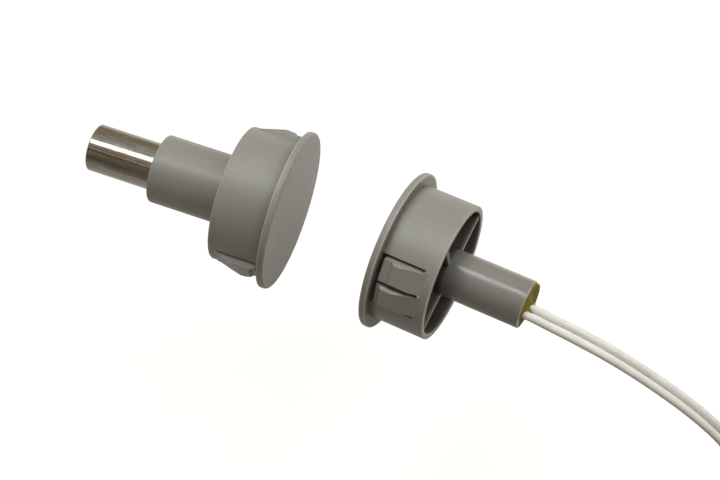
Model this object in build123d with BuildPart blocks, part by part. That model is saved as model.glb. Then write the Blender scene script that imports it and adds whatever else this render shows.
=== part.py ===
"""Recessed magnetic contact: a switch half with two leads and a magnet half, in millimetres.

The origin is the centre of the switch flange's front face. +X runs along the switch axis, from the face
towards the tube and the leads, and +Z is up. Both halves are press-in mouldings for a 25.4 mm hole.
"""

import math
import os

from build123d import *

# Cup that both halves share: flange, barrel and closed front
barrel_radius = 12.65
barrel_wall = 1.05
barrel_length = 11.35
flange_thickness = 1.25
flange_edge_round = 0.5
flange_back_round = 0.2
rim_round = 0.2
cup_floor_fillet = 0.35
barrel_inner_radius = barrel_radius - barrel_wall

# Flange and central tube of the switch half
switch_flange_lip = 2.05
switch_flange_radius = barrel_radius + switch_flange_lip
tube_radius = 4.42
tube_wall = 0.8
tube_end = 25.55
tube_bore_radius = tube_radius - tube_wall
tube_edge_round = 0.15

# Flange and central sleeve of the magnet half, and the rod in the sleeve
magnet_flange_lip = 2.25
magnet_flange_radius = barrel_radius + magnet_flange_lip
sleeve_radius = 6.48
sleeve_end = 26.1
sleeve_edge_round = 0.3
magnet_radius = 4.46
magnet_end = 39.2
magnet_edge_chamfer = 0.2

# Webs between the barrel and the tube
web_count = 4
web_thickness = 0.9
web_setback = 0.3
web_root_depth = 0.3

# Snap fingers: a pair on each side of a barrel, cut free by slots
pair_count = 2
pair_half_width = 4.6
side_slot_width = 0.6
middle_slot_width = 0.75
slot_end = 9.4
finger_gap = 0.85
finger_centre_angle = 10.2
finger_half_width = 2.45
finger_root_depth = 0.7
finger_root_height = barrel_radius - finger_root_depth
finger_side_lean = 30
slot_inner_clearance = 1.0
slot_outer_clearance = 2.95
slot_inner_radius = barrel_inner_radius - slot_inner_clearance
slot_outer_radius = barrel_radius + slot_outer_clearance

# Outline of a finger's outer face: places behind the front face, and rises over the barrel
ramp_start = 10.0
ramp_sink = 0.1
ramp_foot = barrel_radius - ramp_sink
shoulder_place = 6.2
shoulder_rise = 0.95
shoulder_height = barrel_radius + shoulder_rise
peak_place = 5.2
peak_rise = 1.2
peak_height = barrel_radius + peak_rise
land_rise = 1.15
land_height = barrel_radius + land_rise
early_step_place = 4.1
late_step_place = 3.1
step_run = 0.5
step_foot_rise = 0.5
step_foot_height = barrel_radius + step_foot_rise
tip_rise = 0.45
tip_height = barrel_radius + tip_rise
finger_tip = flange_thickness + finger_gap

# Where the webs and the finger pairs stand, in degrees round each seat's own axis
switch_pair_angle = 150.3
magnet_pair_angle = 155.5
web_to_pair_angle = 45

# Reed switch
reed_radius = 1.15
reed_cavity_radius = 0.85
reed_front = 5.2
reed_rear = 17.2
reed_seal_length = 1.6
blade_lead_radius = 0.25
blade_thickness = 0.2
blade_width = 1.1
blade_overlap = 0.9
blade_gap = 0.05
tongue_root = 0.9
front_lead_place = 3.0
front_lead_bend = 0.8
rear_lead_end = 19.4

# Leads: where each leaves the tube, its size and its joints inside the potting
lead_radius = 0.75
conductor_radius = 0.3
exit_a = (tube_end, -0.45, 0.35)
exit_b = (tube_end, -2.3, 0.4)
conductor_a_start = 17.8
conductor_b_start = 2.0
tail_a_start = 20.2
tail_b_start = 5.4
rear_joint_place = 18.6
solder_radius = 0.75
solder_gap = 0.08

# Resin
dome_height = 0.55
dome_shoulder_height = 0.35
dome_shoulder_radius = 2.2

# Route of each lead from the tube's mouth to the coil
route_a = [
    exit_a,
    (27.3, -0.45, 0.35),
    (30.6, -0.62, 0.08),
    (34.9, -0.66, -0.27),
    (42.4, -0.66, -1.7),
    (50.4, -0.66, -4.35),
    (58.9, -0.64, -8.3),
    (66.0, -0.64, -13.5),
    (69.7, -0.62, -20.3),
    (70.9, -0.6, -26.7),
    (74.0, -0.6, -31.2),
    (78.4, -0.6, -32.3),
]
route_b = [
    exit_b,
    (27.3, -2.3, 0.4),
    (30.6, -2.18, -0.33),
    (34.9, -2.18, -0.85),
    (42.4, -2.2, -2.15),
    (50.4, -2.2, -4.8),
    (58.9, -2.2, -8.75),
    (65.9, -2.2, -13.95),
    (69.6, -2.18, -20.7),
    (70.9, -2.2, -26.9),
    (74.0, -2.2, -31.2),
    (78.4, -2.2, -32.3),
]
bend_share = 0.45

# Coil of both leads, rolled up flat side by side, with its tie and the stripped ends in its hole
coil_centre = (78.0, -1.4, -43.9)
coil_outer_radius = 12.4
coil_inner_radius = 3.8
coil_width = 3.3
coil_edge_round = 0.7
coil_mean_radius = (coil_outer_radius + coil_inner_radius) / 2
tie_thickness = 0.5
tie_angle = 62
tie_arc = 15
tie_knot_radius = 0.8
tie_knot_length = 4.5
bare_end_radius = 0.35
bare_end_start = (-2.3, -3.0)
bare_end_tip = (-1.7, 2.3)
bare_end_offset = 0.8


def half_plane(seat, angle):
    """Plane through a seat's axis: local x runs behind the face and local y is the height above the axis."""
    turn = math.radians(angle)
    outward = seat.x_dir * math.cos(turn) + seat.y_dir * math.sin(turn)
    return Plane(origin=seat.origin, x_dir=seat.z_dir, z_dir=seat.z_dir.cross(outward))


def facing_plane(seat, angle, height):
    """Plane that faces outward at a height above the axis: local x runs behind the front face."""
    turn = math.radians(angle)
    outward = seat.x_dir * math.cos(turn) + seat.y_dir * math.sin(turn)
    return Plane(origin=seat.origin + outward * height, x_dir=seat.z_dir, z_dir=outward)


def spin_axis(seat):
    """Axis of a seat."""
    return Axis(seat.origin, seat.z_dir)


def revolve_cup(seat, flange_radius, core_radius, core_end, bore_radius, core_round):
    """Revolve the closed flange, the barrel and the hollow core round a seat's axis."""
    with BuildSketch(half_plane(seat, 0)) as section:
        with BuildLine():
            Polyline(
                (0, 0),
                (0, flange_radius),
                (flange_thickness, flange_radius),
                (flange_thickness, barrel_radius),
                (barrel_length, barrel_radius),
                (barrel_length, barrel_inner_radius),
                (flange_thickness, barrel_inner_radius),
                (flange_thickness, core_radius),
                (core_end, core_radius),
                (core_end, bore_radius),
                (flange_thickness, bore_radius),
                (flange_thickness, 0),
                close=True,
            )
        make_face()
        corner_rounds = [
            ((0, flange_radius), flange_edge_round),
            ((flange_thickness, flange_radius), flange_back_round),
            ((barrel_length, barrel_radius), rim_round),
            ((barrel_length, barrel_inner_radius), rim_round),
            ((flange_thickness, barrel_inner_radius), cup_floor_fillet),
            ((flange_thickness, core_radius), cup_floor_fillet),
            ((core_end, core_radius), core_round),
        ]
        for place, radius in corner_rounds:
            fillet(section.vertices().sort_by_distance(Vector(*place))[0], radius)
    revolve(section.sketch, axis=spin_axis(seat))


def add_webs(seat, first_angle, core_radius):
    """Stand the webs between the core and the barrel."""
    for step in range(web_count):
        plane = half_plane(seat, first_angle + step * 360 / web_count)
        with BuildSketch(plane) as web:
            with BuildLine():
                Polyline(
                    (flange_thickness, core_radius - web_root_depth),
                    (barrel_length - web_setback, core_radius - web_root_depth),
                    (barrel_length - web_setback, barrel_inner_radius + web_root_depth),
                    (flange_thickness, barrel_inner_radius + web_root_depth),
                    close=True,
                )
            make_face()
        extrude(web.sketch, amount=web_thickness / 2, both=True)


def build_ramp(step_place):
    """Build one finger's ramp, drawn flat: x is the distance behind the face, y the height above the axis."""
    side_drop = finger_half_width - (slot_outer_radius - ramp_foot) * math.tan(math.radians(finger_side_lean))
    with BuildPart() as ramp:
        with BuildSketch() as outline:
            with BuildLine():
                Polyline(
                    (ramp_start, finger_root_height),
                    (ramp_start, ramp_foot),
                    (shoulder_place, shoulder_height),
                    (peak_place, peak_height),
                    (step_place, land_height),
                    (step_place - step_run, step_foot_height),
                    (finger_tip, tip_height),
                    (finger_tip, finger_root_height),
                    close=True,
                )
            make_face()
        extrude(outline.sketch, amount=finger_half_width, both=True)
        with BuildSketch(Plane.YZ.offset(finger_tip)) as side_slopes:
            for side in (-1, 1):
                with BuildLine():
                    Polyline(
                        (ramp_foot, side * finger_half_width),
                        (slot_outer_radius, side * finger_half_width),
                        (slot_outer_radius, side * side_drop),
                        close=True,
                    )
                make_face()
        extrude(side_slopes.sketch, amount=ramp_start - finger_tip, mode=Mode.SUBTRACT)
    return ramp.part


def add_fingers(seat, first_angle):
    """Raise the ramped fingers on the barrel, then cut their slots."""
    for pair in range(pair_count):
        pair_angle = first_angle + pair * 360 / pair_count
        for side, ramp in ((-1, early_ramp), (1, late_ramp)):
            add(half_plane(seat, pair_angle + side * finger_centre_angle).location * ramp)
        cut_plane = facing_plane(seat, pair_angle, slot_inner_radius)
        slot_length = slot_end - flange_thickness
        slot_centre = flange_thickness + slot_length / 2
        with BuildSketch(cut_plane) as slots:
            with Locations((slot_centre, 0)):
                Rectangle(slot_length, middle_slot_width)
            with Locations((slot_centre, -pair_half_width), (slot_centre, pair_half_width)):
                Rectangle(slot_length, side_slot_width)
            with Locations((flange_thickness + finger_gap / 2, 0)):
                Rectangle(finger_gap, 2 * pair_half_width)
        extrude(slots.sketch, amount=slot_outer_radius - slot_inner_radius, mode=Mode.SUBTRACT)


def tangent_bends(route):
    """Radius at each inner point of a route: a share of the shorter run beside it."""
    radii = []
    for before, here, after in zip(route, route[1:], route[2:]):
        run_in = Vector(*here) - Vector(*before)
        run_out = Vector(*after) - Vector(*here)
        half_turn = math.radians(run_in.get_angle(run_out)) / 2
        radii.append(bend_share * min(run_in.length, run_out.length) / math.tan(half_turn))
    return radii


def revolve_capsule(radius, front, rear, mode):
    """Revolve a round-ended capsule on the reed's axis."""
    reed_plane = Plane(origin=(0, reed_y, reed_z), x_dir=(1, 0, 0), z_dir=(0, -1, 0))
    with BuildSketch(reed_plane) as capsule:
        with Locations(((front + rear) / 2, 0)):
            SlotOverall(rear - front, 2 * radius)
        split(bisect_by=Plane.XZ)
    revolve(capsule.sketch, axis=Axis((0, reed_y, reed_z), (1, 0, 0)), mode=mode)


def revolve_coil_ring(middle_angle, arc, growth):
    """Revolve the coil's rounded section, grown all round, over an arc about a middle angle."""
    width = coil_width + 2 * growth
    depth = coil_outer_radius - coil_inner_radius + 2 * growth
    with BuildSketch(half_plane(coil_seat, middle_angle - arc / 2)) as ring_section:
        with Locations((0, coil_mean_radius)):
            RectangleRounded(width, depth, coil_edge_round + growth)
    revolve(ring_section.sketch, axis=spin_axis(coil_seat), revolution_arc=arc)


def round_bar(start, end, radius):
    """Extrude a round bar between two points, in the part that is being built."""
    direction = Vector(*end) - Vector(*start)
    with BuildSketch(Plane(origin=start, z_dir=direction)) as circle:
        Circle(radius)
    extrude(circle.sketch, amount=direction.length)


# Seats of the two mouldings: the origin is the front face's centre and z runs behind the face
switch_seat = Plane(origin=(0, 0, 0), x_dir=(0, 1, 0), z_dir=(1, 0, 0))
magnet_face_centre = (-20.59, -0.58, -1.05)
magnet_yaw = 7.5
magnet_pitch = 3.1
facing_out = Vector(1, 0, 0).rotate(Axis.Y, magnet_pitch).rotate(Axis.Z, magnet_yaw)
magnet_side = Vector(0, 0, 1).cross(facing_out)
magnet_seat = Plane(origin=magnet_face_centre, x_dir=magnet_side, z_dir=facing_out * -1)

# Seat of the coil: its axis lies level, across the switch axis
coil_seat = Plane(origin=coil_centre, x_dir=(1, 0, 0), z_dir=(0, -1, 0))

# Ramps of a pair's two fingers, which step down to the tip at different places
early_ramp = build_ramp(early_step_place)
late_ramp = build_ramp(late_step_place)

# Switch housing
with BuildPart() as switch_housing:
    revolve_cup(switch_seat, switch_flange_radius, tube_radius, tube_end, tube_bore_radius, tube_edge_round)
    add_webs(switch_seat, switch_pair_angle + web_to_pair_angle, tube_radius)
    add_fingers(switch_seat, switch_pair_angle)

# Magnet housing
with BuildPart() as magnet_housing:
    revolve_cup(
        magnet_seat, magnet_flange_radius, sleeve_radius, sleeve_end, magnet_radius, sleeve_edge_round
    )
    add_webs(magnet_seat, magnet_pair_angle + web_to_pair_angle, sleeve_radius)
    add_fingers(magnet_seat, magnet_pair_angle)

# Magnet rod
with BuildPart() as magnet:
    with BuildSketch(magnet_seat.offset(flange_thickness)):
        Circle(magnet_radius)
    extrude(amount=magnet_end - flange_thickness)
    chamfer(magnet.faces().sort_by(spin_axis(magnet_seat))[-1].edges(), magnet_edge_chamfer)

# Reed blades: a round lead outside the glass and a flat tongue inside it, on an axis beside lead A
reed_y = exit_a[1] + conductor_radius + solder_gap + blade_lead_radius
reed_z = exit_a[2]
front_seal = reed_front + reed_seal_length
rear_seal = reed_rear - reed_seal_length
reed_middle = (reed_front + reed_rear) / 2
tongue_length = (rear_seal - front_seal + blade_overlap) / 2 + tongue_root
tongue_offset = (blade_gap + blade_thickness) / 2
front_joint = (front_lead_place, exit_b[1] + conductor_radius + solder_gap, exit_b[2])
with BuildPart() as reed_blade_front:
    with BuildLine() as front_route:
        FilletPolyline(
            (front_seal, reed_y, reed_z),
            (front_lead_place, reed_y, reed_z),
            front_joint,
            radius=front_lead_bend,
        )
    with BuildSketch(Plane(origin=front_route.line @ 0, z_dir=front_route.line % 0)):
        Circle(blade_lead_radius)
    sweep()
    with BuildSketch(Plane.YZ.offset(front_seal - tongue_root)) as front_tongue:
        with Locations((reed_y, reed_z + tongue_offset)):
            Rectangle(blade_width, blade_thickness)
    extrude(front_tongue.sketch, amount=tongue_length)
with BuildPart() as reed_blade_rear:
    round_bar((rear_seal, reed_y, reed_z), (rear_lead_end, reed_y, reed_z), blade_lead_radius)
    with BuildSketch(Plane.YZ.offset(rear_seal + tongue_root)) as rear_tongue:
        with Locations((reed_y, reed_z - tongue_offset)):
            Rectangle(blade_width, blade_thickness)
    extrude(rear_tongue.sketch, amount=-tongue_length)

# Reed glass: a capsule round a sealed cavity
with BuildPart() as reed_glass:
    revolve_capsule(reed_radius, reed_front, reed_rear, Mode.ADD)
    revolve_capsule(reed_cavity_radius, front_seal, rear_seal, Mode.SUBTRACT)
    add(reed_blade_front.part, mode=Mode.SUBTRACT)
    add(reed_blade_rear.part, mode=Mode.SUBTRACT)

# Conductors from the solder joints to the tube's mouth, and the insulation round them
with BuildPart() as conductor_a:
    round_bar((conductor_a_start, exit_a[1], exit_a[2]), exit_a, conductor_radius)
with BuildPart() as conductor_b:
    round_bar((conductor_b_start, exit_b[1], exit_b[2]), exit_b, conductor_radius)
with BuildPart() as lead_tail_a:
    round_bar((tail_a_start, exit_a[1], exit_a[2]), exit_a, lead_radius)
    add(conductor_a.part, mode=Mode.SUBTRACT)
with BuildPart() as lead_tail_b:
    round_bar((tail_b_start, exit_b[1], exit_b[2]), exit_b, lead_radius)
    add(conductor_b.part, mode=Mode.SUBTRACT)

# Solder joints
with BuildPart() as solder_front:
    with Locations(front_joint):
        Sphere(solder_radius)
    add(reed_blade_front.part, mode=Mode.SUBTRACT)
    add(conductor_b.part, mode=Mode.SUBTRACT)
with BuildPart() as solder_rear:
    with Locations((rear_joint_place, (reed_y + exit_a[1]) / 2, reed_z)):
        Sphere(solder_radius)
    add(reed_blade_rear.part, mode=Mode.SUBTRACT)
    add(conductor_a.part, mode=Mode.SUBTRACT)

# Coil, standing on edge, with its tie
with BuildPart() as lead_coil:
    revolve_coil_ring(0, 360, 0)
with BuildPart() as coil_tie:
    revolve_coil_ring(tie_angle, tie_arc, tie_thickness)
    with BuildSketch(facing_plane(coil_seat, tie_angle, coil_outer_radius)) as knot:
        Circle(tie_knot_radius)
    extrude(knot.sketch, amount=tie_knot_length)
    add(lead_coil.part, mode=Mode.SUBTRACT)

# Stripped ends that leave the innermost turn and cross the coil's hole
bare_ends = {}
for name, side in (("bare_end_a", 1), ("bare_end_b", -1)):
    start, tip = (
        (coil_centre[0] + x, coil_centre[1] + side * bare_end_offset, coil_centre[2] + z)
        for x, z in (bare_end_start, bare_end_tip)
    )
    with BuildPart() as bare_ends[name]:
        round_bar(start, tip, bare_end_radius)
        add(lead_coil.part, mode=Mode.SUBTRACT)

# Free leads, each a round tube along its route
leads = {}
for name, route in (("lead_a", route_a), ("lead_b", route_b)):
    radii = tangent_bends(route)
    with BuildPart() as leads[name]:
        with BuildLine() as path:
            FilletPolyline(*route, radius=radii)
        with BuildSketch(Plane(origin=path.line @ 0, z_dir=path.line % 0)):
            Circle(lead_radius)
        sweep()
        drawn_length = path.wire().length
        drawn_volume = drawn_length * math.pi * lead_radius**2
        print(name, "radii", [round(radius, 1) for radius in radii])
        print(name, "length", round(drawn_length, 2))
        print(name, "volume share", round(leads[name].part.volume / drawn_volume, 4))
        add(lead_coil.part, mode=Mode.SUBTRACT)

# Potting: fills the tube and domes over its mouth, round everything that it holds
with BuildPart() as potting:
    with BuildSketch(half_plane(switch_seat, 0)) as plug:
        with BuildLine():
            Polyline(
                (tube_end, tube_bore_radius),
                (flange_thickness, tube_bore_radius),
                (flange_thickness, 0),
                (tube_end + dome_height, 0),
            )
            ThreePointArc(
                (tube_end + dome_height, 0),
                (tube_end + dome_shoulder_height, dome_shoulder_radius),
                (tube_end, tube_bore_radius),
            )
        make_face()
    revolve(plug.sketch, axis=spin_axis(switch_seat))
    revolve_capsule(reed_radius, reed_front, reed_rear, Mode.SUBTRACT)
    held_pieces = (
        reed_blade_front,
        reed_blade_rear,
        solder_front,
        solder_rear,
        conductor_a,
        conductor_b,
        lead_tail_a,
        lead_tail_b,
        leads["lead_a"],
        leads["lead_b"],
    )
    for piece in held_pieces:
        add(piece.part, mode=Mode.SUBTRACT)

os.makedirs("parts", exist_ok=True)
pieces = {
    "switch_housing": switch_housing,
    "potting": potting,
    "reed_glass": reed_glass,
    "reed_blade_front": reed_blade_front,
    "reed_blade_rear": reed_blade_rear,
    "solder_front": solder_front,
    "solder_rear": solder_rear,
    "conductor_a": conductor_a,
    "conductor_b": conductor_b,
    "lead_tail_a": lead_tail_a,
    "lead_tail_b": lead_tail_b,
    **leads,
    "lead_coil": lead_coil,
    "coil_tie": coil_tie,
    **bare_ends,
    "magnet_housing": magnet_housing,
    "magnet": magnet,
}
for name, piece in pieces.items():
    piece.part.label = name
    export_step(piece.part, f"parts/{name}.step")
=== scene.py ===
"""Recessed magnetic contact: finishes, leads, tie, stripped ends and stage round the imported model.

Lengths are in metres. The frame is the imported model's: the origin is the centre of the switch flange's front
face, +X runs along the switch axis towards the tube and the leads, and +Z is up.
"""

import math

import bmesh
import bpy
import numpy as np
from mathutils import Matrix, Vector


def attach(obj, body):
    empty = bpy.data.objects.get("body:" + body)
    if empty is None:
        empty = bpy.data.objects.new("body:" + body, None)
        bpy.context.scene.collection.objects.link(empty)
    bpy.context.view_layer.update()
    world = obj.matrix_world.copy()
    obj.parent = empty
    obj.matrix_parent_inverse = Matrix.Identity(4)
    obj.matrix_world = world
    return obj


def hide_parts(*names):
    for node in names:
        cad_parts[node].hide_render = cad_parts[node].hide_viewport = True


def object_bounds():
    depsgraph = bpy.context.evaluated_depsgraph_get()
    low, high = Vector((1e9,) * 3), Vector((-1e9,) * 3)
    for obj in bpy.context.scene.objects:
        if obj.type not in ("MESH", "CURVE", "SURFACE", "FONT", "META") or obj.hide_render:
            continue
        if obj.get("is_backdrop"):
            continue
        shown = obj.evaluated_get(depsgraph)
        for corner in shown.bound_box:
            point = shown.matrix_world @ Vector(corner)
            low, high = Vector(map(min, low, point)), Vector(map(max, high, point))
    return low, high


bl_info = {
    "name": "Recessed magnetic contact",
    "version": (1, 0, 0),
    "blender": (4, 5, 0),
    "location": "3D View > Sidebar > Contact",
    "description": "Finishes, leads and studio of a recessed magnetic contact",
    "category": "Object",
}

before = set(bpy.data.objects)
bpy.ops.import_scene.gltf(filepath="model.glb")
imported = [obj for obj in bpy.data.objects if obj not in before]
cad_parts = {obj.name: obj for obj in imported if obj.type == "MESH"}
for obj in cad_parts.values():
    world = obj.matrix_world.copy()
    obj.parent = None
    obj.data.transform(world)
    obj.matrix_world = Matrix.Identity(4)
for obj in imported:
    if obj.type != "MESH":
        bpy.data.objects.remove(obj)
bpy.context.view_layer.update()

MM = 0.001

# Seats of the two mouldings: the front face's centre and the direction behind the face
MAGNET_YAW = math.radians(7.5)
MAGNET_PITCH = math.radians(3.1)
SWITCH_FACE = Vector((0, 0, 0))
SWITCH_BEHIND = Vector((1, 0, 0))
MAGNET_FACE = Vector((-20.59, -0.58, -1.05)) * MM
MAGNET_BEHIND = -Vector(
    (
        math.cos(MAGNET_PITCH) * math.cos(MAGNET_YAW),
        math.cos(MAGNET_PITCH) * math.sin(MAGNET_YAW),
        -math.sin(MAGNET_PITCH),
    )
)

# Sizes of the two mouldings and the rod, measured from a front face and from an axis
FLANGE_THICKNESS = 1.25 * MM
SWITCH_FLANGE_RADIUS = 14.7 * MM
MAGNET_FLANGE_RADIUS = 14.9 * MM
BARREL_LENGTH = 11.35 * MM
BARREL_RADIUS = 12.65 * MM
BARREL_INNER_RADIUS = 11.6 * MM
TUBE_END = 25.55 * MM
TUBE_RADIUS = 4.42 * MM
TUBE_BORE_RADIUS = 3.62 * MM
SLEEVE_END = 26.1 * MM
SLEEVE_RADIUS = 6.48 * MM
MAGNET_END = 39.2 * MM

# Route of each lead from the tube's mouth to the coil, in millimetres
ROUTE_A = [
    (25.55, -0.45, 0.35),
    (27.3, -0.45, 0.35),
    (30.6, -0.62, 0.08),
    (34.9, -0.66, -0.27),
    (42.4, -0.66, -1.7),
    (50.4, -0.66, -4.35),
    (58.9, -0.64, -8.3),
    (66.0, -0.64, -13.5),
    (69.7, -0.62, -20.3),
    (70.9, -0.6, -26.7),
    (74.0, -0.6, -31.2),
]
ROUTE_B = [
    (25.55, -2.3, 0.4),
    (27.3, -2.3, 0.4),
    (30.6, -2.18, -0.33),
    (34.9, -2.18, -0.85),
    (42.4, -2.2, -2.15),
    (50.4, -2.2, -4.8),
    (58.9, -2.2, -8.75),
    (65.9, -2.2, -13.95),
    (69.6, -2.18, -20.7),
    (70.9, -2.2, -26.9),
    (74.0, -2.2, -31.2),
]

# Coil of both leads, rolled up flat, its tie and the stripped ends in its hole
COIL_CENTRE = Vector((78.0, -1.4, -43.9)) * MM
COIL_FIRST_RADIUS = 11.6 * MM
COIL_LAYER_PITCH = 1.55 * MM
COIL_TURNS = 4.6
COIL_POINTS_PER_TURN = 16
COIL_HALF_GAP = 0.8 * MM
COIL_OUTER_RADIUS = 12.4 * MM
COIL_INNER_RADIUS = 3.8 * MM
COIL_WIDTH = 3.3 * MM
TIE_ANGLE = math.radians(62)
TIE_LIFT = 0.24 * MM
TIE_HALF_THICKNESS = 0.22 * MM
TIE_HALF_WIDTH = 1.3 * MM
TIE_CORNER = 0.7 * MM
TAIL_LENGTH = 4.6 * MM
TAIL_HALF_SIZES = (0.74 * MM, 0.34 * MM)
TAIL_TWIST = 5 * math.pi
STRAND_TWIST = 2.2 * math.pi
STRAND_SPREAD = 0.35
BARE_START = (-2.3, -3.0)
BARE_TIP = (-1.7, 2.3)

# Camera, placed where the photograph was taken from
CAMERA_PLACE = Vector((60.687, -131.534, 213.532)) * MM
CAMERA_RIGHT = Vector((0.88903, 0.45784, 0))
CAMERA_UP = Vector((-0.37740, 0.73284, 0.56614))
CAMERA_LENS_MM = 72.5
CAMERA_SENSOR_MM = 36

# Half width of the floor
FLOOR_REACH = 2.0

# Lamps by their power's setting: place, target, line of the long side, size, colour, and whether mirrored rays
# see it
LAMPS = {
    "key_power": ((-0.105, -0.022, 0.388), (-0.105, -0.022, 0), (0.62, 0.78, 0), (0.28, 0.08), (1, 1, 1), True),
    "thin_power": ((-0.14, -0.274, 0.285), (-0.05, 0, 0), (1, 0, 0), (0.26, 0.016), (1, 0.7, 0.38), True),
    "back_power": ((0, 0.27, 0.47), (0, 0, 0), (1, 0, 0), (0.5, 0.35), (1, 1, 1), False),
    "right_power": ((0.34, 0.07, 0.29), (0, 0, 0), (0, 1, 0), (0.3, 0.3), (1, 1, 1), False),
}

# CAD nodes that share a finish
BLADE_NODES = ("reed_blade_front", "reed_blade_rear")
SOLDER_NODES = ("solder_front", "solder_rear")
CONDUCTOR_NODES = ("conductor_a", "conductor_b")
TAIL_NODES = ("lead_tail_a", "lead_tail_b")


# Shader helpers


class Wire:
    """One shader socket. Arithmetic on it adds Math nodes, and colours and vectors pass through by name."""

    def __init__(self, tree, socket):
        self.tree = tree
        self.socket = socket

    def math(self, operation, *others, swap=False):
        node = self.tree.nodes.new("ShaderNodeMath")
        node.operation = operation
        values = [self, *others]
        if swap:
            values.reverse()
        for slot, value in zip(node.inputs, values):
            put(self.tree, slot, value)
        return Wire(self.tree, node.outputs[0])

    def __add__(self, other):
        return self.math("ADD", other)

    def __radd__(self, other):
        return self.math("ADD", other, swap=True)

    def __sub__(self, other):
        return self.math("SUBTRACT", other)

    def __rsub__(self, other):
        return self.math("SUBTRACT", other, swap=True)

    def __mul__(self, other):
        return self.math("MULTIPLY", other)

    def __rmul__(self, other):
        return self.math("MULTIPLY", other, swap=True)

    def high(self, other):
        return self.math("MAXIMUM", other)

    def low(self, other):
        return self.math("MINIMUM", other)

    def size(self):
        return self.math("ABSOLUTE")

    def share(self):
        """Keep the value between 0 and 1."""
        return self.low(1.0).high(0.0)

    def ease(self, start, end):
        """Rise smoothly from 0 at start to 1 at end; falls where end is below start."""
        node = self.tree.nodes.new("ShaderNodeMapRange")
        node.interpolation_type = "SMOOTHSTEP"
        low, high, first, last = (start, end, 0.0, 1.0) if start < end else (end, start, 1.0, 0.0)
        for slot, value in zip(node.inputs, (self, low, high, first, last)):
            put(self.tree, slot, value)
        return Wire(self.tree, node.outputs[0])


def put(tree, slot, value):
    """Link a wire to a socket, or set the socket's own value."""
    if isinstance(value, Wire):
        tree.links.new(value.socket, slot)
    else:
        slot.default_value = value


def mixed(tree, share, first, second):
    """Mix two colours by a share of the second."""
    node = tree.nodes.new("ShaderNodeMix")
    node.data_type = "RGBA"
    for slot, value in ((0, share), (6, first), (7, second)):
        put(tree, node.inputs[slot], value)
    return Wire(tree, node.outputs[2])


class Finish:
    """A node material with its Principled shader, and one method that adds any other node."""

    def __init__(self, name, **constants):
        self.material = bpy.data.materials.new(name)
        self.material.use_nodes = True
        self.tree = self.material.node_tree
        self.tree.nodes.clear()
        self.shader = self.tree.nodes.new("ShaderNodeBsdfPrincipled")
        self.output = self.tree.nodes.new("ShaderNodeOutputMaterial")
        self.tree.links.new(self.shader.outputs[0], self.output.inputs[0])
        self.place = self.node("ShaderNodeTexCoord", output="Object")
        self.set(**constants)

    def set(self, **values):
        """Set or link sockets of the Principled shader; underscores in a name stand for spaces."""
        for name, value in values.items():
            put(self.tree, self.shader.inputs[name.replace("_", " ")], value)

    def node(self, kind, output=0, inputs=None, **settings):
        """Add a node, with its settings and inputs, and return one of its outputs."""
        node = self.tree.nodes.new(kind)
        for name, value in settings.items():
            setattr(node, name, value)
        for name, value in (inputs or {}).items():
            put(self.tree, node.inputs[name], value)
        return Wire(self.tree, node.outputs[output])

    def dot(self, vector, direction):
        """Component of a vector along a fixed direction."""
        return self.node(
            "ShaderNodeVectorMath", output="Value", operation="DOT_PRODUCT", inputs={0: vector, 1: direction[:]}
        )

    def noise(self, vector, scale, detail=2.0, roughness=0.5):
        """Smooth noise from 0 to 1, with its scale in cells per metre."""
        values = {"Vector": vector, "Scale": scale, "Detail": detail, "Roughness": roughness}
        return self.node("ShaderNodeTexNoise", output="Fac", inputs=values)

    def stretch(self, vector, factors):
        """Vector with each component multiplied by its own factor."""
        return self.node("ShaderNodeVectorMath", operation="MULTIPLY", inputs={0: vector, 1: factors})

    def vector(self, x, y, z):
        return self.node("ShaderNodeCombineXYZ", inputs={0: x, 1: y, 2: z})

    def blend(self, share, first, second):
        """Mix two colours by a share of the second."""
        return mixed(self.tree, share, first, second)

    def bump(self, height, distance, strength=1.0):
        """Normal from a height between 0 and 1 that stands for a distance in metres."""
        values = {"Height": height, "Distance": distance, "Strength": strength}
        return self.node("ShaderNodeBump", output="Normal", inputs=values)

    def round_the_axis(self, origin, axis):
        """Distance along an axis, distance from it, and the turn round it in radians."""
        away = self.node("ShaderNodeVectorMath", operation="SUBTRACT", inputs={0: self.place, 1: origin[:]})
        side = Vector((0, 0, 1)).cross(axis).normalized()
        along = self.dot(away, axis)
        across = self.dot(away, side)
        upward = self.dot(away, axis.cross(side))
        height = (across * across + upward * upward).math("SQRT")
        turn = upward.math("ARCTAN2", across)
        return along, height, turn


def tone(red, green, blue):
    """Linear colour from the values 0 to 255 that a screen shows."""
    shown = np.array((red, green, blue)) / 255
    linear = np.where(shown <= 0.04045, shown / 12.92, ((shown + 0.055) / 1.055) ** 2.4)
    return (*linear.tolist(), 1.0)


# Finishes


def thin_line(depth, place, reach):
    """1 at a depth, and 0 from a short reach away from it."""
    return (depth - place).size().ease(reach, 0.06 * MM)


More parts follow.
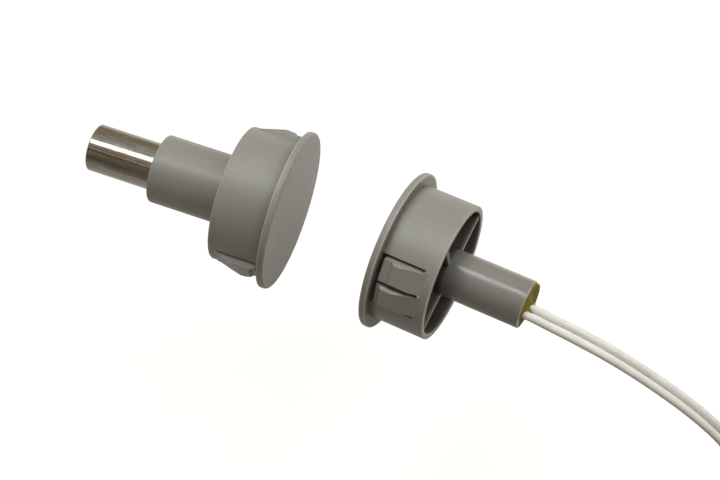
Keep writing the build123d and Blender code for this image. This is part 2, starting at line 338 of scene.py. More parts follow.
def grey_moulding(name, face, behind, flange_radius, core_radius, core_end, core_shade, settings):
    """Grey moulded plastic: grained closed face, drawn sides, a glossier darker core, painted highlights along
    thin edges, and painted shade inside the cup and in the corner behind the flange.

    The depth behind the front face and the height above the axis tell the places apart.
    """
    finish = Finish(name, IOR=1.5, Specular_IOR_Level=0.5)
    depth, height, turn = finish.round_the_axis(face, behind)
    on_face = depth.ease(0.4 * MM, 0.1 * MM)
    behind_flange = depth.ease(0.9 * MM, 1.2 * MM)
    on_core = height.ease(core_radius + 0.5 * MM, core_radius + 0.15 * MM) * behind_flange
    # Painted shade: the grey sinks to the deep tone inside the cup
    cup_shade = height.ease(BARREL_INNER_RADIUS + 0.15 * MM, BARREL_INNER_RADIUS - 0.1 * MM)
    cup_shade = cup_shade * behind_flange * depth.ease(BARREL_LENGTH - 0.1 * MM, BARREL_LENGTH - 1.0 * MM)
    # Painted shade in the corner where the barrel meets the back of the flange
    crease_shade = depth.ease(3.4 * MM, 1.3 * MM) * height.ease(flange_radius, BARREL_RADIUS + 0.5 * MM)
    crease_shade = crease_shade * behind_flange
    grain = finish.noise(finish.place, 1200, detail=3.0, roughness=0.75)
    speckle = finish.noise(finish.place, 5200, detail=1.0)
    cloud = finish.noise(finish.place, 160, detail=3.0, roughness=0.6)
    drawn_place = finish.vector(turn * 30.0, depth * 90.0, height * 300.0)
    drawn = finish.noise(drawn_place, 1.0, detail=4.0, roughness=0.7)
    # Painted highlights: thin pale lines along the flange's rear edge, the cup's rim and the core's end
    flange_line = thin_line(depth, FLANGE_THICKNESS - 0.1 * MM, 0.16 * MM)
    flange_line = flange_line * height.ease(flange_radius - 0.5 * MM, flange_radius - 0.3 * MM)
    rim_line = thin_line(depth, BARREL_LENGTH - 0.04 * MM, 0.2 * MM)
    rim_line = rim_line * height.ease(BARREL_INNER_RADIUS - 0.4 * MM, BARREL_INNER_RADIUS - 0.1 * MM)
    core_line = thin_line(depth, core_end - 0.03 * MM, 0.2 * MM)
    edges = flange_line.high(rim_line).high(core_line)
    shade = (cloud - 0.5) * 0.5 + (drawn - 0.5) * 0.4 * (1.0 - on_face)
    shade = shade + (grain - 0.5) * 4.5 * on_face + (speckle - 0.5) * 0.16
    colour = finish.blend((shade + 0.5).share(), settings.grey_dark, settings.grey_light)
    colour = finish.blend(on_face * 0.5, colour, settings.grey_face)
    colour = finish.blend(edges * 0.7, colour, settings.grey_edge_highlight)
    colour = finish.blend(on_core * core_shade, colour, settings.grey_deep)
    colour = finish.blend((cup_shade * 0.86).high(crease_shade * (drawn * 0.5 + 0.05)), colour, settings.grey_deep)
    roughness = 0.44 - on_core * core_shade + (cloud - 0.5) * 0.10 + (drawn - 0.5) * 0.10
    relief = (grain + speckle * 0.5) * on_face + (drawn * 0.3 + speckle * 0.12) * (1.0 - on_face)
    finish.set(Base_Color=colour, Roughness=roughness, Normal=finish.bump(relief, 0.03 * MM, 0.8))
    return finish.material


def plated_magnet(name, settings):
    """Nickel-plated rod: fine lines drawn along it, cloudy plating and a duller end face."""
    finish = Finish(name, Metallic=1.0)
    depth, height, turn = finish.round_the_axis(MAGNET_FACE, MAGNET_BEHIND)
    fine = finish.noise(finish.vector(turn * 17.0, depth * 260.0, 0.0), 1.0, detail=3.0, roughness=0.8)
    broad = finish.noise(finish.vector(turn * 6.0, depth * 60.0, 5.0), 1.0, detail=2.0, roughness=0.6)
    cloud = finish.noise(finish.place, 420, detail=3.0, roughness=0.6)
    speck = finish.noise(finish.place, 3800, detail=2.0, roughness=0.7)
    end_face = depth.ease(MAGNET_END - 0.25 * MM, MAGNET_END - 0.1 * MM)
    share = 0.5 + (fine - 0.5) * 2.2 + (broad - 0.5) * 1.2 + (cloud - 0.5) * 0.6 + (speck - 0.5) * 0.5
    colour = finish.blend(share.share(), settings.nickel_dark, settings.nickel_light)
    colour = finish.blend(end_face * 0.5, colour, settings.nickel_dark)
    roughness = 0.13 + (fine - 0.5) * 0.18 + (cloud - 0.5) * 0.08 + speck * 0.04 + end_face * 0.2
    relief = fine * 0.7 + speck * 0.3
    finish.set(Base_Color=colour, Roughness=roughness, Normal=finish.bump(relief, 0.006 * MM, 0.7))
    return finish.material


def cast_resin(name, settings):
    """Amber casting resin: cloudy olive, paler towards the rim, with tiny bubbles under a thin gloss."""
    finish = Finish(
        name,
        IOR=1.5,
        Specular_IOR_Level=0.0,
        Coat_Weight=0.12,
        Coat_Roughness=0.05,
        Subsurface_Weight=0.15,
        Subsurface_Scale=0.5 * MM,
        Subsurface_Radius=(1.0, 0.8, 0.2),
    )
    depth, height, turn = finish.round_the_axis(SWITCH_FACE, SWITCH_BEHIND)
    cloud = finish.noise(finish.place, 700, detail=3.0, roughness=0.6)
    bubbles = finish.node(
        "ShaderNodeTexVoronoi", output="Distance", inputs={"Vector": finish.place, "Scale": 1900.0}
    ).ease(0.16, 0.05)
    rim = height.ease(TUBE_RADIUS - 2.02 * MM, TUBE_RADIUS)
    share = ((cloud - 0.5) * 1.6 + 0.4 + rim * 0.25).share()
    colour = finish.blend(share, settings.resin_deep, settings.resin_thin)
    colour = finish.blend(bubbles * 0.3, colour, settings.resin_glint)
    finish.set(Base_Color=colour, Roughness=0.22 + cloud * 0.12, Normal=finish.bump(cloud, 0.04 * MM, 0.6))
    return finish.material


def lead_insulation(name, settings):
    """Off-white lead insulation: soft, slightly shiny, with painted shade below, handling marks and faint
    lines.
    """
    finish = Finish(
        name,
        IOR=1.48,
        Subsurface_Weight=0.15,
        Subsurface_Scale=0.5 * MM,
        Subsurface_Radius=(1.0, 0.9, 0.7),
    )
    cloud = finish.noise(finish.place, 230, detail=4.0, roughness=0.6)
    lines = finish.noise(finish.stretch(finish.place, (120.0, 2400.0, 2400.0)), 1.0, detail=2.0)
    # Painted shade: the insulation turns tan where its surface faces down and backwards
    under = finish.dot(finish.node("ShaderNodeNewGeometry", output="Normal"), Vector((0, -0.6, 0.8)))
    share = 0.2 + (cloud - 0.5) * 0.9 + (lines - 0.5) * 0.6 + under.ease(0.2, -0.7) * 0.8
    colour = finish.blend(share.share(), settings.lead_white, settings.lead_handled_and_shade)
    roughness = 0.36 + (cloud - 0.5) * 0.2
    finish.set(Base_Color=colour, Roughness=roughness, Normal=finish.bump(lines, 0.01 * MM, 0.4))
    return finish.material


def bright_metal(name, colour, dull, base_roughness, scale):
    """Plated, tinned or soldered metal with a cloudy skin."""
    finish = Finish(name, Metallic=1.0)
    cloud = finish.noise(finish.place, scale, detail=4.0, roughness=0.65)
    finish.set(
        Base_Color=finish.blend(cloud, dull, colour),
        Roughness=base_roughness + (cloud - 0.5) * 0.2,
        Normal=finish.bump(cloud, 0.01 * MM, 0.5),
    )
    return finish.material


def clear_glass(name):
    """Clear reed glass with a faint green tint and flow lines in its thickness."""
    finish = Finish(name, Transmission_Weight=1.0, IOR=1.5)
    flow = finish.noise(finish.stretch(finish.place, (200.0, 1500.0, 1500.0)), 1.0, detail=2.0)
    finish.set(
        Base_Color=finish.blend(flow, tone(225, 238, 228), tone(240, 248, 242)),
        Roughness=0.02 + flow * 0.04,
        Normal=finish.bump(flow, 0.01 * MM, 0.3),
    )
    return finish.material


def tie_plastic(name):
    """White paper-thin plastic of the coil's tie, ribbed over its wire core."""
    finish = Finish(name, IOR=1.49)
    cloud = finish.noise(finish.place, 500, detail=3.0)
    ribs = finish.noise(finish.stretch(finish.place, (900.0, 5200.0, 900.0)), 1.0, detail=1.0)
    finish.set(
        Base_Color=finish.blend(cloud, tone(205, 204, 200), tone(228, 227, 222)),
        Roughness=0.42 + cloud * 0.12,
        Normal=finish.bump(ribs, 0.02 * MM, 0.5),
    )
    return finish.material


def floor_finish(name, settings):
    """Pale floor: white to the camera, paler towards the back in mirrored rays, and the object's shadow."""
    finish = Finish(name)
    tree = finish.tree
    level = finish.stretch(finish.place, (1, 1, 0))
    middle = (*settings.pool_centre, 0.0)
    away = finish.node("ShaderNodeVectorMath", operation="SUBTRACT", inputs={0: level, 1: middle})
    reach = finish.node("ShaderNodeVectorMath", output="Value", operation="LENGTH", inputs={0: away})
    pool = reach.ease(settings.pool_reach * 1.6, settings.pool_reach * 0.5) * settings.pool_share
    behind = finish.dot(finish.place, Vector((0, 1, 0))).ease(0.0, settings.pool_reach * 0.9)
    mirrored = pool + behind * settings.behind_share + settings.floor_share
    diffuse = finish.node("ShaderNodeBsdfDiffuse", inputs={"Color": settings.floor_colour})
    strength = seen_directly(tree, mirrored) * settings.floor_glow
    glow = finish.node("ShaderNodeEmission", inputs={"Strength": strength})
    both = finish.node("ShaderNodeAddShader", inputs={0: diffuse, 1: glow})
    tree.nodes.remove(finish.shader)
    put(tree, finish.output.inputs[0], both)
    return finish.material


def seen_directly(tree, mirrored):
    """1 for rays from the camera, the given share for mirrored and transmitted ones, and 0 for the rest."""
    path = tree.nodes.new("ShaderNodeLightPath")
    camera = Wire(tree, path.outputs["Is Camera Ray"])
    glossy = Wire(tree, path.outputs["Is Glossy Ray"])
    transmitted = Wire(tree, path.outputs["Is Transmission Ray"])
    return camera.high(glossy.high(transmitted) * mirrored)


# Surfaces


def grid_mesh(name, points, close_rows=False, cap_ends=False):
    """Mesh from a grid of points, shaped rows x columns x 3. Each row closes on itself, and the rows may too.

    Each face joins a grid point to its next row and next column. Capped ends get one face over the first row
    and one over the last.
    """
    rows, columns = points.shape[:2]
    index = np.arange(rows * columns).reshape(rows, columns)
    down = index if close_rows else index[:-1]
    below = np.roll(index, -1, axis=0) if close_rows else index[1:]
    corners = (down, np.roll(down, -1, axis=1), np.roll(below, -1, axis=1), below)
    faces = np.stack(corners, axis=-1).reshape(-1, 4).tolist()
    if cap_ends:
        faces.append(index[0, ::-1].tolist())
        faces.append(index[-1].tolist())
    mesh = bpy.data.meshes.new(name)
    mesh.from_pydata(points.reshape(-1, 3).tolist(), [], faces)
    mesh.validate()
    return mesh


def joined(name, meshes):
    """One mesh from several, with points that coincide merged and all faces outward."""
    whole = bmesh.new()
    for mesh in meshes:
        whole.from_mesh(mesh)
        bpy.data.meshes.remove(mesh)
    bmesh.ops.remove_doubles(whole, verts=whole.verts, dist=1e-7)
    bmesh.ops.recalc_face_normals(whole, faces=whole.faces)
    mesh = bpy.data.meshes.new(name)
    whole.to_mesh(mesh)
    whole.free()
    return mesh


def carried_section(centres, across, upward, section):
    """Carry a flat section along a path: each row is the section's points on the path's two side directions."""
    return (
        centres[:, None, :]
        + section[:, :, :1] * across[:, None, :]
        + section[:, :, 1:] * upward[:, None, :]
    )


def path_frames(centres):
    """Unit directions across a path: one square to it and to a fixed slanted line, one square to both."""
    run = np.gradient(centres, axis=0)
    run /= np.linalg.norm(run, axis=1, keepdims=True)
    across = np.cross(run, np.array((0.31, 0.87, 0.38)))
    across /= np.linalg.norm(across, axis=1, keepdims=True)
    return across, np.cross(run, across)


def oval_section(half_width, half_depth, sides):
    """Oval as one row of points, for every row of a path."""
    turn = np.linspace(0, 2 * math.pi, sides, endpoint=False)
    return np.stack((half_width * np.cos(turn), half_depth * np.sin(turn)), axis=-1)[None]


def new_piece(name, data, material, slot, *nodes):
    """Link an object to the scene with its material, riding on the one body, in place of CAD nodes. The slot is
    not used.
    """
    piece = bpy.data.objects.new(name, data)
    bpy.context.scene.collection.objects.link(piece)
    data.materials.append(material)
    if isinstance(data, bpy.types.Mesh):
        data.polygons.foreach_set("use_smooth", np.ones(len(data.polygons), dtype=bool))
        data.set_sharp_from_angle(angle=math.radians(40))
    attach(piece, "root")
    if nodes:
        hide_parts(*nodes)
    return piece


def dress(nodes, material):
    """Put one finish on CAD nodes."""
    for name in nodes:
        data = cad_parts[name].data
        data.materials.clear()
        data.materials.append(material)


# Leads


def in_coil(place, side):
    """Point in the coil's hole, from its x and z in millimetres and the side that its lead is on."""
    return COIL_CENTRE + Vector((place[0] * MM, side * COIL_HALF_GAP, place[1] * MM))


def lead_route(route, side):
    """The lead's own points, then the turns of its flat coil, worked out from the first radius inwards.

    A turn's points lie on a spiral: the angle falls evenly and the radius shrinks by one layer pitch a turn.
    The control points stand slightly outside the spiral, by one over the cosine of half their spacing.
    """
    points = [Vector(point) * MM for point in route]
    step = 2 * math.pi / COIL_POINTS_PER_TURN
    spread = 1 / math.cos(step / 2)
    for count in range(round(COIL_TURNS * COIL_POINTS_PER_TURN) + 1):
        angle = math.pi / 2 - count * step
        radius = (COIL_FIRST_RADIUS - COIL_LAYER_PITCH * count / COIL_POINTS_PER_TURN) * spread
        offset = Vector((radius * math.cos(angle), side * COIL_HALF_GAP, radius * math.sin(angle)))
        points.append(COIL_CENTRE + offset)
    points.append(in_coil(BARE_START, side))
    return points


def lead_curve(name, points, diameter):
    """One open quadratic curve through the route's control points, with a round bevel."""
    curve = bpy.data.curves.new(name, "CURVE")
    curve.dimensions = "3D"
    spline = curve.splines.new("NURBS")
    spline.points.add(len(points) - 1)
    for point, place in zip(spline.points, points):
        point.co = (*place, 1.0)
    spline.order_u = 3
    spline.use_endpoint_u = True
    spline.resolution_u = 6
    curve.bevel_depth = diameter / 2
    curve.bevel_resolution = 6
    curve.use_fill_caps = True
    return curve


def strand_bundle(name, start, tip, wire_radius):
    """Seven wires, one straight and six on helices round it: angle grows evenly along the line."""
    rows = 48
    share = np.linspace(0, 1, rows)
    line = np.array(tip) - np.array(start)
    straight = np.array(start)[None] + share[:, None] * line[None]
    across, upward = path_frames(straight)
    meshes = []
    for wire in range(7):
        centres = straight
        if wire:
            turn = wire * math.pi / 3 + share * STRAND_TWIST
            reach = 2 * wire_radius * (1 + STRAND_SPREAD * share**3)
            centres = straight + (
                (reach * np.cos(turn))[:, None] * across + (reach * np.sin(turn))[:, None] * upward
            )
        side, lift = path_frames(centres)
        points = carried_section(centres, side, lift, oval_section(wire_radius, wire_radius, 10))
        meshes.append(grid_mesh("wire", points, cap_ends=True))
    return joined(name, meshes)


def rounded_loop(half_width, half_depth, corner, count):
    """Rounded rectangle as a loop of points: four quarter circles joined by straight sides."""
    turn = np.linspace(0, 2 * math.pi, count, endpoint=False) + math.pi / count
    x, y = np.cos(turn), np.sin(turn)
    return np.stack(
        (
            np.sign(x) * (half_width - corner) + corner * x,
            np.sign(y) * (half_depth - corner) + corner * y,
        ),
        axis=-1,
    )


def tie_band(name):
    """Flat strip wrapped round the coil's section: a rounded loop whose wall follows an oval strip profile."""
    loop_count, wall_count = 64, 10
    half_width = COIL_WIDTH / 2
    half_depth = (COIL_OUTER_RADIUS - COIL_INNER_RADIUS) / 2
    middle = COIL_OUTER_RADIUS - half_depth
    wall = np.linspace(0, 2 * math.pi, wall_count, endpoint=False)
    rows = []
    for lift, along in zip(TIE_LIFT + TIE_HALF_THICKNESS * np.sin(wall), TIE_HALF_WIDTH * np.cos(wall)):
        loop = rounded_loop(half_width + lift, half_depth + lift, TIE_CORNER + lift, loop_count)
        turn = TIE_ANGLE + along / middle
        reach = middle + loop[:, 1]
        rows.append(
            np.stack((reach * math.cos(turn), loop[:, 0], reach * math.sin(turn)), axis=-1)
            + np.array(COIL_CENTRE)
        )
    return grid_mesh(name, np.array(rows), close_rows=True)


def tie_tail(name):
    """Twisted pair of strip ends: a flat oval section that turns two and a half times along its line."""
    rows = 60
    share = np.linspace(0, 1, rows)
    outward = np.array((math.cos(TIE_ANGLE), 0, math.sin(TIE_ANGLE)))
    sideways = np.array((0.0, 1.0, 0.0))
    along = np.cross(outward, sideways)
    centres = np.array(COIL_CENTRE) + outward * (COIL_OUTER_RADIUS + share * TAIL_LENGTH)[:, None]
    twist = share * TAIL_TWIST
    across = np.cos(twist)[:, None] * sideways + np.sin(twist)[:, None] * along
    upward = np.cross(outward, across)
    narrowing = 1 - 0.3 * share[:, None, None] ** 6
    points = carried_section(centres, across, upward, oval_section(*TAIL_HALF_SIZES, 14) * narrowing)
    return grid_mesh(name, points, cap_ends=True)


# Resin


def smooth_step(values, start, end):
    """Smooth step of an array: three squares less two cubes of the share of the way from start to end."""
    share = np.clip((values - start) / (end - start), 0, 1)
    return share * share * (3 - 2 * share)


def level_ring(depth, radius, turn):
    """One row of points round the tube's axis, at a depth and with a radius that may differ with the turn."""
    return np.stack(np.broadcast_arrays(depth, radius * np.cos(turn), radius * np.sin(turn)), axis=-1)


def resin_fill(name, sizes):
    """Resin that fills the tube, with a free surface that is a height over the mouth's disc.

    The height goes with the square of the radius from a low middle to the height of its edge. The edge is
    level with the tube's end on the near side. On the far side it spills over the rim as a rounded bead, lowest
    at one end and highest at the other. A term that fades with the distance from each lead adds the collar that
    climbs it, higher on the side of the spill.
    """
    rings, spokes = 56, 128
    lowest, seam = 0.12, 0.01 * MM
    share = np.linspace(0, 1, rings + 1)[1:, None]
    turn = np.linspace(0, 2 * math.pi, spokes, endpoint=False)[None, :]
    spilled = smooth_step(np.cos(turn - sizes.spill_side), -0.3, 0.25)
    edge = TUBE_BORE_RADIUS - seam + sizes.spill * spilled
    bead = sizes.bead * (lowest + (1 - lowest) * smooth_step(np.cos(turn - sizes.bead_side), -0.1, 1.0))
    reach = share * edge
    across, upward = reach * np.cos(turn), reach * np.sin(turn)
    height = sizes.middle + (bead * spilled - sizes.middle) * share**2
    height = height * np.sqrt(np.maximum(1 - share**14, 0))
    for route, climb in ((ROUTE_A, sizes.climb), (ROUTE_B, sizes.lower_climb)):
        aside, above = across - route[0][1] * MM, upward - route[0][2] * MM
        away = np.hypot(aside, above)
        outward = aside * math.cos(sizes.spill_side) + above * math.sin(sizes.spill_side)
        outward = outward / np.maximum(away, 1e-6)
        fade = np.exp(-np.maximum(away - sizes.lead_radius, 0) / sizes.climb_reach)
        height = height + climb * (1 + sizes.lean * outward) * fade * (1 - share**8)
    body = TUBE_BORE_RADIUS - seam
    below = TUBE_END - 0.05 * MM
    loops = (
        level_ring(TUBE_END + height[0].mean(), 0.0, turn),
        np.stack((TUBE_END + height, across, upward), axis=-1),
        level_ring(below, edge, turn),
        level_ring(below, body, turn),
        level_ring(FLANGE_THICKNESS, body, turn),
        level_ring(FLANGE_THICKNESS, 0.0, turn),
    )
    return joined(name, [grid_mesh(name, np.concatenate(loops))])


# Settings


class ContactResinSettings(bpy.types.PropertyGroup):
    """Sizes of the resin in the tube's mouth."""

    middle: bpy.props.FloatProperty(
        name="Middle", description="Height of the resin in the middle of the mouth", default=0.2 * MM,
        unit="LENGTH", precision=5,
    )
    bead: bpy.props.FloatProperty(
        name="Bead", description="Largest height of the resin over the tube's rim", default=0.95 * MM,
        unit="LENGTH", precision=5,
    )
    bead_side: bpy.props.FloatProperty(
        name="Side of the bead", description="Turn from the level line to the bead's highest place",
        default=math.radians(-18), subtype="ANGLE",
    )
    spill: bpy.props.FloatProperty(
        name="Spill", description="How far the resin runs over the tube's rim on one side", default=0.7 * MM,
        unit="LENGTH", precision=5,
    )
    spill_side: bpy.props.FloatProperty(
        name="Side of the spill", description="Turn from the level line to the middle of the spill",
        default=math.radians(-58), subtype="ANGLE",
    )
    climb: bpy.props.FloatProperty(
        name="Climb", description="Height that the resin climbs along the upper lead", default=1.25 * MM,
        unit="LENGTH", precision=5,
    )
    lower_climb: bpy.props.FloatProperty(
        name="Lower climb", description="Height that the resin climbs along the lower lead",
        default=0.5625 * MM, unit="LENGTH", precision=5,
    )
    lean: bpy.props.FloatProperty(
        name="Lean", description="How much higher a collar stands on the side of the spill, as a share",
        default=0.55,
    )
    climb_reach: bpy.props.FloatProperty(
        name="Reach of the climb", description="Distance from a lead over which its collar fades",
        default=0.4 * MM, unit="LENGTH", precision=5,
    )
    lead_radius: bpy.props.FloatProperty(
        name="Lead radius", description="Radius of the leads that the collars fit", default=0.75 * MM,
        unit="LENGTH", precision=5,
    )


class ContactLeadSettings(bpy.types.PropertyGroup):
    """Sizes of the leads."""

    diameter: bpy.props.FloatProperty(
        name="Diameter", description="Diameter over the insulation", default=1.5 * MM,
        unit="LENGTH", precision=5,
    )
    length: bpy.props.FloatProperty(
        name="Length", description="Real length of each lead from the tube's mouth to its stripped end",
        default=0.3, unit="LENGTH",
    )
    wire_radius: bpy.props.FloatProperty(
        name="Wire radius", description="Radius of each wire of a stripped end", default=0.115 * MM,
        unit="LENGTH", precision=6,
    )


class ContactFinishSettings(bpy.types.PropertyGroup):
    """Colours of the finishes."""

    grey_light: bpy.props.FloatVectorProperty(
        name="Grey, light", description="Lighter tone of the moulded grey",
        default=tone(161, 160, 153), size=4, subtype="COLOR",
    )
    grey_dark: bpy.props.FloatVectorProperty(
        name="Grey, dark", description="Darker tone of the moulded grey",
        default=tone(131, 130, 123), size=4, subtype="COLOR",
    )
    # Painted highlight tone of the thin lines along the mouldings' edges
    grey_edge_highlight: bpy.props.FloatVectorProperty(
        name="Grey, edges", description="Tone of the thin moulded edges",
        default=tone(200, 196, 186), size=4, subtype="COLOR",
    )
    grey_face: bpy.props.FloatVectorProperty(
        name="Grey, face", description="Tone of the grained closed faces",
        default=tone(170, 162, 158), size=4, subtype="COLOR",
    )
    # Painted shade tone inside the cups and in the corner behind the flange; it also darkens the core
    grey_deep: bpy.props.FloatVectorProperty(
        name="Grey, deep", description="Tone that the grey sinks to inside the cups",
        default=tone(68, 59, 51), size=4, subtype="COLOR",
    )
    nickel_light: bpy.props.FloatVectorProperty(
        name="Nickel, light", description="Brighter tone of the plated rod",
        default=tone(156, 151, 141), size=4, subtype="COLOR",
    )
    nickel_dark: bpy.props.FloatVectorProperty(
        name="Nickel, dark", description="Darker tone of the plated rod",
        default=tone(112, 104, 94), size=4, subtype="COLOR",
    )
    resin_deep: bpy.props.FloatVectorProperty(
        name="Resin, deep", description="Tone of the thick resin",
        default=tone(122, 108, 24), size=4, subtype="COLOR",
    )
    resin_thin: bpy.props.FloatVectorProperty(
        name="Resin, thin", description="Tone of the thin resin at the rim",
        default=tone(150, 140, 66), size=4, subtype="COLOR",
    )
    resin_glint: bpy.props.FloatVectorProperty(
        name="Resin, bubbles", description="Tone of the small bubbles",
        default=tone(205, 198, 160), size=4, subtype="COLOR",
    )
    lead_white: bpy.props.FloatVectorProperty(
        name="Lead, white", description="Tone of the clean insulation",
        default=tone(247, 246, 244), size=4, subtype="COLOR",
    )
    # Tone of the handled insulation, also painted as shade on the leads' undersides
    lead_handled_and_shade: bpy.props.FloatVectorProperty(
        name="Lead, handled", description="Tone of the handled insulation",
        default=tone(218, 207, 188), size=4, subtype="COLOR",
    )


class ContactStageSettings(bpy.types.PropertyGroup):
    """Strengths of the studio."""

    key_power: bpy.props.FloatProperty(
        name="Key lamp", description="Power of the small lamp straight above, which draws the highlights",
        default=0.56, unit="POWER",
    )
    thin_power: bpy.props.FloatProperty(
        name="Thin lamp", description="Power of the thin lamp that draws the rod's second line", default=0.028,
        unit="POWER",
    )
    back_power: bpy.props.FloatProperty(
        name="Back lamp", description="Power of the large soft lamp behind", default=0.84, unit="POWER"
    )
    right_power: bpy.props.FloatProperty(
        name="Right lamp", description="Power of the soft lamp on the leads' side", default=0.4, unit="POWER"
    )
    sky_base: bpy.props.FloatProperty(
        name="Sky", description="Strength of the darkest part of the sky", default=0.22
    )
    sky_behind: bpy.props.FloatProperty(
        name="Sky behind", description="Strength that the sky gains towards the back", default=0.35
    )
    sky_above: bpy.props.FloatProperty(
        name="Sky above", description="Strength that the sky gains upwards", default=0.35
    )
    ambient: bpy.props.FloatProperty(
        name="Ambient", description="Share of the sky that lights the object's matt surfaces", default=0.52
    )
    sky_low: bpy.props.FloatVectorProperty(
        name="Low sky", description="Colour of the light from the sides",
        default=(1.0, 0.89, 0.70, 1.0), size=4, subtype="COLOR",
    )
    sky_high: bpy.props.FloatVectorProperty(
        name="High sky", description="Colour of the light from above",
        default=(0.97, 0.99, 1.0, 1.0), size=4, subtype="COLOR",
    )
    horizon: bpy.props.FloatProperty(
        name="Horizon", description="Strength that the sky gains at the horizon, in mirrored rays", default=0.28
    )
    front_glow: bpy.props.FloatProperty(
        name="Front glow", description="Strength that the sky gains low in front, in mirrored rays",
        default=0.12,
    )
    flag: bpy.props.FloatProperty(
        name="Flag", description="Strength that the dark flag in front takes from mirrored rays", default=0.36
    )
    flag_place: bpy.props.FloatProperty(
        name="Place of the flag", description="How far before the highest point the flag stands", default=0.72
    )
    floor_colour: bpy.props.FloatVectorProperty(
        name="Floor", description="Colour of the floor",
        default=(0.3, 0.27, 0.235, 1.0), size=4, subtype="COLOR",
    )
    floor_drop: bpy.props.FloatProperty(
        name="Floor gap", description="Distance from the lowest piece to the floor", default=4 * MM,
        unit="LENGTH",
    )
    floor_glow: bpy.props.FloatProperty(
        name="Floor glow", description="Part of the floor's white that the lamps don't change", default=0.83
    )
    floor_share: bpy.props.FloatProperty(
        name="Floor share", description="Share of that white in mirrored rays all over the floor", default=0.2
    )
    behind_share: bpy.props.FloatProperty(
        name="Share behind", description="Share of that white that mirrored rays gain backwards", default=0.8
    )
    pool_share: bpy.props.FloatProperty(
        name="Pool share", description="Share of that white that mirrored rays gain in the pool", default=0.4
    )
    pool_centre: bpy.props.FloatVectorProperty(
        name="Pool centre", description="Middle of the pool, a patch that is brighter in mirrored rays",
        default=(-0.075, -0.04), size=2, subtype="TRANSLATION",
    )
    pool_reach: bpy.props.FloatProperty(
        name="Pool", description="Reach of the pool from its middle", default=0.08, unit="LENGTH"
    )


# Operators


class ContactHousings(bpy.types.Operator):
    """Finish both grey mouldings"""

    bl_idname = "contact.housings"
    bl_label = "Housings"

    def execute(self, context):
        settings = context.scene.contact_finish
        switch_seat = (SWITCH_FACE, SWITCH_BEHIND, SWITCH_FLANGE_RADIUS, TUBE_RADIUS, TUBE_END)
        magnet_seat = (MAGNET_FACE, MAGNET_BEHIND, MAGNET_FLANGE_RADIUS, SLEEVE_RADIUS, SLEEVE_END)
        dress(["switch_housing"], grey_moulding("switch grey", *switch_seat, 0.22, settings))
        dress(["magnet_housing"], grey_moulding("magnet grey", *magnet_seat, 0.05, settings))
        return {"FINISHED"}


class ContactMagnet(bpy.types.Operator):
    """Finish the plated magnet rod"""

    bl_idname = "contact.magnet"
    bl_label = "Magnet"

    def execute(self, context):
        dress(["magnet"], plated_magnet("plated magnet", context.scene.contact_finish))
        return {"FINISHED"}


class ContactPotting(bpy.types.Operator):
    """Fill the tube with resin that climbs the leads in its mouth"""

    bl_idname = "contact.potting"
    bl_label = "Potting"

    def execute(self, context):
        resin = cast_resin("amber resin", context.scene.contact_finish)
        mesh = resin_fill("resin_fill", context.scene.contact_resin)
        new_piece("resin_fill", mesh, resin, "amber_resin", "potting")
        return {"FINISHED"}


class ContactReed(bpy.types.Operator):
    """Finish the reed switch, its joints and the conductors inside the resin"""

    bl_idname = "contact.reed"
    bl_label = "Reed switch"

    def execute(self, context):
        dress(["reed_glass"], clear_glass("reed glass"))
        for nodes, name, colour, dull, roughness, scale in (
            (BLADE_NODES, "reed alloy", tone(200, 196, 188), tone(150, 146, 138), 0.28, 900),
            (SOLDER_NODES, "solder", tone(205, 205, 205), tone(130, 130, 132), 0.3, 1500),
            (CONDUCTOR_NODES, "tinned conductor", tone(214, 208, 196), tone(164, 150, 128), 0.3, 1200),
        ):
            dress(nodes, bright_metal(name, colour, dull, roughness, scale))
        dress(TAIL_NODES, lead_insulation("lead insulation inside", context.scene.contact_finish))
        return {"FINISHED"}


class ContactLeads(bpy.types.Operator):
    """Lay the two white leads, rolled up together at their far end, with their stripped ends"""

    bl_idname = "contact.leads"
    bl_label = "Leads"

    def execute(self, context):
        sizes = context.scene.contact_leads
        white = lead_insulation("lead insulation", context.scene.contact_finish)
        tinned = bright_metal("tinned strands", tone(214, 208, 196), tone(160, 148, 128), 0.32, 2200)
        for name, route, side in (("a", ROUTE_A, 1), ("b", ROUTE_B, -1)):
            nodes = [f"lead_{name}"] + (["lead_coil"] if name == "a" else [])
            points = lead_route(route, side)
            curve = lead_curve(f"white_lead_{name}", points, sizes.diameter)
            lead = new_piece(f"white_lead_{name}", curve, white, "white_insulation", *nodes)
            start, tip = (in_coil(place, side) for place in (BARE_START, BARE_TIP))
            strands = strand_bundle(f"stripped_end_{name}", start, tip, sizes.wire_radius)
            stripped = new_piece(
                f"stripped_end_{name}", strands, tinned, "tinned_copper", f"bare_end_{name}"
            )
        return {"FINISHED"}


class ContactTie(bpy.types.Operator):
    """Wrap and twist the tie round the coil"""

    bl_idname = "contact.tie"
    bl_label = "Coil tie"

    def execute(self, context):
        mesh = joined("twist_tie", [tie_band("band"), tie_tail("tail")])
        new_piece("twist_tie", mesh, tie_plastic("tie plastic"), "tie_plastic", "coil_tie")
        return {"FINISHED"}


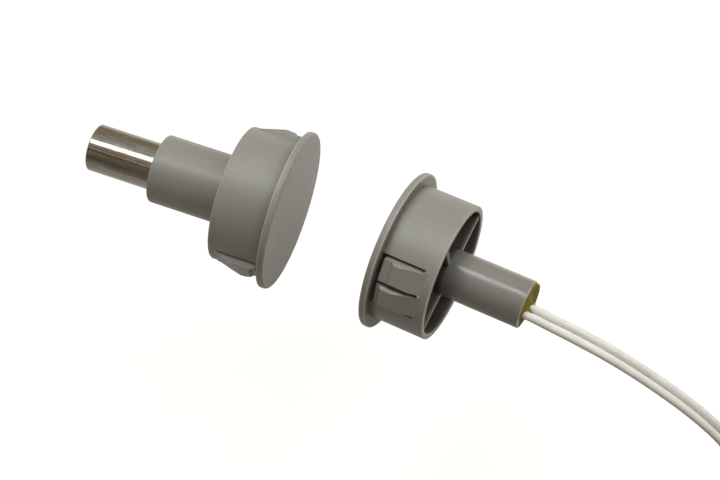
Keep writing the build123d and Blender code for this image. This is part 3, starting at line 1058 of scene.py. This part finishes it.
class ContactStage(bpy.types.Operator):
    """Set the floor, the lamps, the background and the camera"""

    bl_idname = "contact.stage"
    bl_label = "Stage"

    def execute(self, context):
        scene = context.scene
        settings = scene.contact_stage
        self.lay_floor(scene, settings)
        self.hang_lamps(scene, settings)
        self.light_world(scene, settings)
        self.place_camera(scene)
        scene.view_settings.view_transform = "Standard"
        return {"FINISHED"}

    def lay_floor(self, scene, settings):
        """Wide flat square under the lowest piece."""
        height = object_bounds()[0].z - settings.floor_drop
        signs = ((-1, -1), (1, -1), (1, 1), (-1, 1))
        corners = [(x * FLOOR_REACH, y * FLOOR_REACH, height) for x, y in signs]
        mesh = bpy.data.meshes.new("floor")
        mesh.from_pydata(corners, [], [(0, 1, 2, 3)])
        mesh.materials.append(floor_finish("pale floor", settings))
        floor = bpy.data.objects.new("floor", mesh)
        scene.collection.objects.link(floor)
        floor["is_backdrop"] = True

    def hang_lamps(self, scene, settings):
        """Hang the lamps. Each shines from its place to its target, with its long side along a given line."""
        for power, (place, target, lengthwise, size, colour, mirrored) in LAMPS.items():
            name = power.replace("_power", " lamp")
            lamp = bpy.data.lights.new(name, "AREA")
            lamp.shape = "RECTANGLE"
            lamp.size, lamp.size_y = size
            lamp.energy = getattr(settings, power)
            lamp.color = colour
            back = (Vector(place) - Vector(target)).normalized()
            side = (Vector(lengthwise) - back * back.dot(Vector(lengthwise))).normalized()
            holder = bpy.data.objects.new(name, lamp)
            turn = Matrix((side, back.cross(side), back)).transposed()
            holder.matrix_world = Matrix.Translation(place) @ turn.to_4x4()
            holder.visible_glossy = mirrored
            scene.collection.objects.link(holder)

    def light_world(self, scene, settings):
        """White to the camera, and for the object a sky that brightens upwards and backwards.

        Mirrored rays also see a pale horizon behind, a faint glow low in front and a dark flag over it.
        """
        world = bpy.data.worlds.new("studio")
        world.use_nodes = True
        tree = world.node_tree
        background = tree.nodes["Background"]
        path = tree.nodes.new("ShaderNodeLightPath")
        direction = tree.nodes.new("ShaderNodeTexCoord")
        parts = tree.nodes.new("ShaderNodeSeparateXYZ")
        put(tree, parts.inputs[0], Wire(tree, direction.outputs["Generated"]))
        back = Wire(tree, parts.outputs["Y"])
        up = Wire(tree, parts.outputs["Z"])
        sky = back.ease(-0.9, 0.9) * settings.sky_behind + up.ease(0.3, 1.0) * settings.sky_above
        sky = sky + settings.sky_base
        band = up.size().ease(0.1, 0.0) * back.ease(-1.0, 0.2) * settings.horizon
        front = up.ease(0.05, 0.3) * back.ease(-0.6, -0.85) * settings.front_glow
        flag = (back + settings.flag_place).size().ease(0.11, 0.05) * up.ease(0.4, 0.6) * settings.flag
        strength = seen_directly(tree, sky + band + front - flag).high(sky * settings.ambient)
        put(tree, background.inputs["Strength"], strength)
        tint = mixed(tree, up.ease(0.5, 0.95), settings.sky_low, settings.sky_high)
        tint = mixed(tree, Wire(tree, path.outputs["Is Camera Ray"]), tint, (1.0, 1.0, 1.0, 1.0))
        put(tree, background.inputs["Color"], tint)
        scene.world = world

    def place_camera(self, scene):
        """Camera at the photograph's place, square to the directions measured from it."""
        lens = bpy.data.cameras.new("camera")
        lens.lens = CAMERA_LENS_MM
        lens.sensor_width = CAMERA_SENSOR_MM
        lens.clip_start = 0.005
        lens.clip_end = 10
        camera = bpy.data.objects.new("camera", lens)
        right = CAMERA_RIGHT.normalized()
        back = right.cross(CAMERA_UP).normalized()
        up = back.cross(right)
        turn = Matrix((right, up, back)).transposed()
        camera.matrix_world = Matrix.Translation(CAMERA_PLACE) @ turn.to_4x4()
        scene.collection.objects.link(camera)
        scene.camera = camera


class ContactPanel(bpy.types.Panel):
    """Lists the steps and the settings"""

    bl_idname = "VIEW3D_PT_contact"
    bl_label = "Recessed magnetic contact"
    bl_space_type = "VIEW_3D"
    bl_region_type = "UI"
    bl_category = "Contact"

    def draw(self, context):
        for step in STEPS:
            self.layout.operator(step.bl_idname)
        for name, group in SETTINGS.items():
            box = self.layout.box()
            for prop in group.__annotations__:
                box.prop(getattr(context.scene, name), prop)


SETTINGS = {
    "contact_resin": ContactResinSettings,
    "contact_leads": ContactLeadSettings,
    "contact_finish": ContactFinishSettings,
    "contact_stage": ContactStageSettings,
}
# In the order that they run in; the tie comes before the leads
STEPS = (
    ContactHousings,
    ContactMagnet,
    ContactPotting,
    ContactReed,
    ContactTie,
    ContactLeads,
    ContactStage,
)


def register():
    for item in (*SETTINGS.values(), *STEPS, ContactPanel):
        bpy.utils.register_class(item)
    for name, group in SETTINGS.items():
        setattr(bpy.types.Scene, name, bpy.props.PointerProperty(type=group))


def unregister():
    for name in SETTINGS:
        delattr(bpy.types.Scene, name)
    for item in reversed((*SETTINGS.values(), *STEPS, ContactPanel)):
        bpy.utils.unregister_class(item)


def main():
    """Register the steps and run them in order."""
    register()
    for step in STEPS:
        group, name = step.bl_idname.split(".")
        getattr(getattr(bpy.ops, group), name)()


if __name__ == "__main__":
    main()
